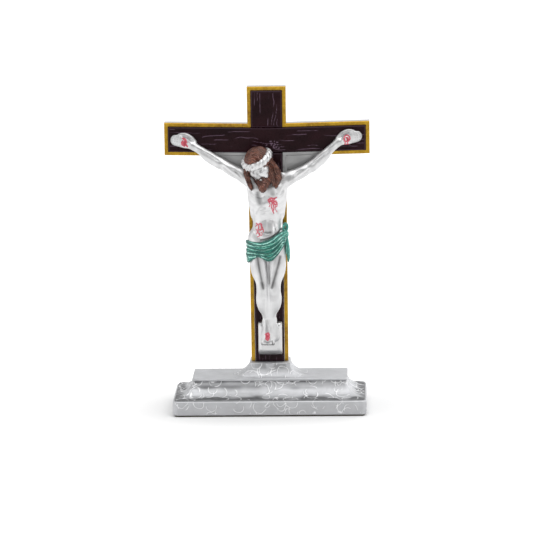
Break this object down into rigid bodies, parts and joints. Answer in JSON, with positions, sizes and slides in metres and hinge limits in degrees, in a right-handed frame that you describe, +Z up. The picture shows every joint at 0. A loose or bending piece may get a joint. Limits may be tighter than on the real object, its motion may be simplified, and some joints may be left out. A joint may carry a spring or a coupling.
{
  "type": "altar cross",
  "caption": "Small standing crucifix: a silver corpus with a painted loincloth and hair on a gold-bordered plank cross, on a stepped silver base.",
  "frame": {"origin": "centre of the felt underside, on the surface the cross stands on", "axes": "+Z up along the upright, +X to the viewer's right along the beam, the front with the corpus faces -Y"},
  "size_m": [0.1024, 0.043, 0.1642],
  "materials": {
    "felt": "matte olive-brown felt",
    "card_plate": "plain dark moulded plate",
    "zinc_screws": "zinc-plated screws",
    "silver_base": "silver-plated casting with raised veins",
    "silver_pedestal": "silver-plated casting with raised veins",
    "zinc_washer": "zinc-plated washer",
    "zinc_screw": "zinc-plated screw",
    "silver_frame": "silver plating, satin",
    "gold_paint": "ochre-gold metallic paint, hand applied",
    "aubergine_paint": "dark aubergine-brown translucent paint over silver wood grain",
    "silver_web": "silver plating, satin",
    "silver_body": "bright silver plating",
    "silver_block": "bright silver plating",
    "teal_paint": "teal-green metallic paint",
    "copper_brown_paint": "copper-brown metallic paint",
    "silver_crown": "bright silver plating",
    "nail_steel": "small plated nails",
    "zinc_back_screws": "zinc-plated screws"
  },
  "bodies": {
    "root": {"felt_pad": "felt", "base_plate": "card_plate", "plate_screws": "zinc_screws", "base_shell": "silver_base", "pedestal": "silver_pedestal", "tie_washer": "zinc_washer", "tie_screw": "zinc_screw", "cross_frame": "silver_frame", "gilt_border_beam": "gold_paint", "gilt_border_left": "gold_paint", "gilt_border_right": "gold_paint", "beam_plank": "aubergine_paint", "upper_plank": "aubergine_paint", "lower_plank": "aubergine_paint", "web_left": "silver_web", "web_right": "silver_web", "corpus_torso": "silver_body", "corpus_legs": "silver_body", "arm_left": "silver_body", "arm_right": "silver_body", "corpus_head": "silver_body", "foot_block": "silver_block", "loincloth": "teal_paint", "loincloth_knot": "teal_paint", "hair": "copper_brown_paint", "beard": "copper_brown_paint", "crown_of_thorns": "silver_crown", "nail_left": "nail_steel", "nail_right": "nail_steel", "nail_feet": "nail_steel", "back_screws": "zinc_back_screws"}
  },
  "joints": []
}
